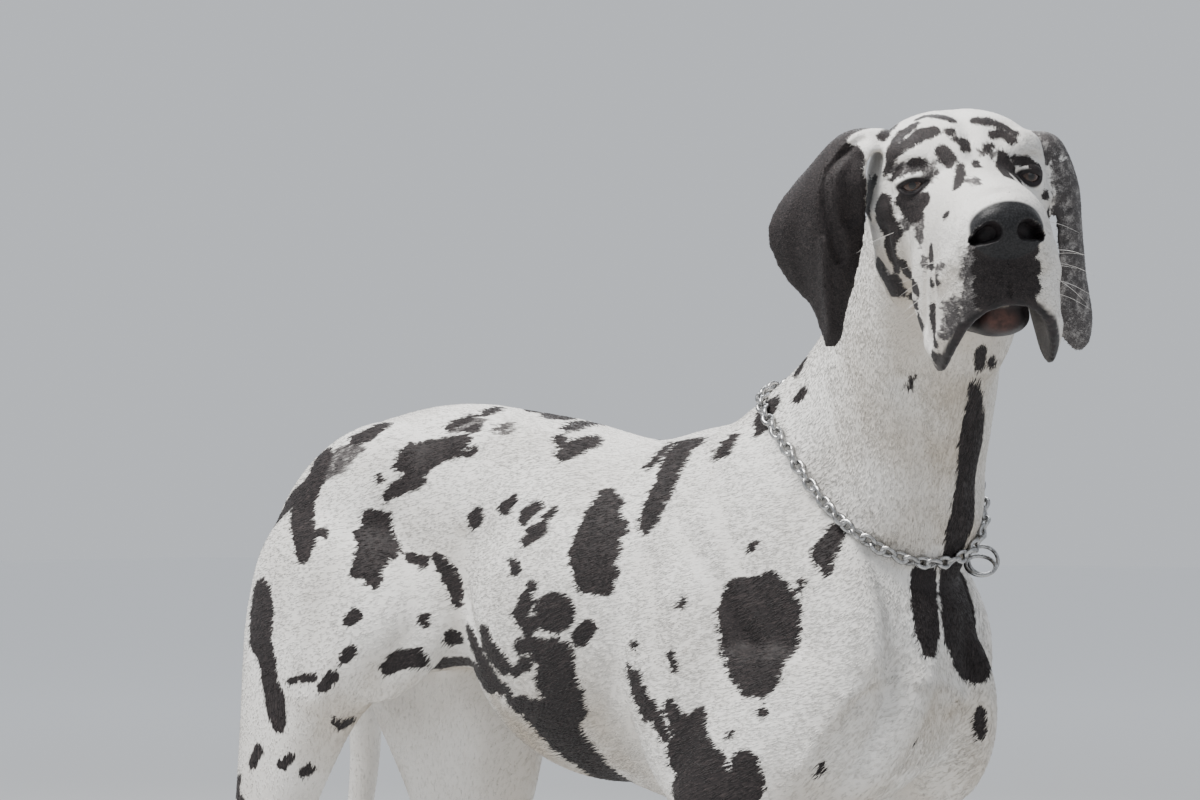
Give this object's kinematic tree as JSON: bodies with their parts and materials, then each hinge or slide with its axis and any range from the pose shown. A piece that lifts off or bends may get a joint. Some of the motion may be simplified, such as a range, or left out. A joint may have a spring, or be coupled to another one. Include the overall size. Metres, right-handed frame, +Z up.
{
  "type": "great dane",
  "caption": "Life-size standing great dane with a harlequin coat, its head held high and turned to its right, wearing a steel chain collar.",
  "frame": {"origin": "on the floor, under the middle of the dog's bounding box", "axes": "+X forward along the body to the chest and head, +Y to the dog's left, +Z up"},
  "size_m": [1.2458, 0.5446, 1.0922],
  "materials": {
    "coat": "short smooth hair, white with torn charcoal patches",
    "eye": "wet gloss, dark brown",
    "collar_steel": "polished steel, worn"
  },
  "bodies": {
    "root": {"torso": "coat", "neck": "coat", "head": "coat", "ear_right": "coat", "ear_left": "coat", "eye_right": "eye", "eye_left": "eye", "tail": "coat", "foreleg_right": "coat", "foreleg_left": "coat", "forepaw_right": "coat", "forepaw_left": "coat", "thigh_right": "coat", "thigh_left": "coat", "hock_right": "coat", "hock_left": "coat", "hindpaw_right": "coat", "hindpaw_left": "coat", "collar_chain": "collar_steel"}
  },
  "joints": []
}
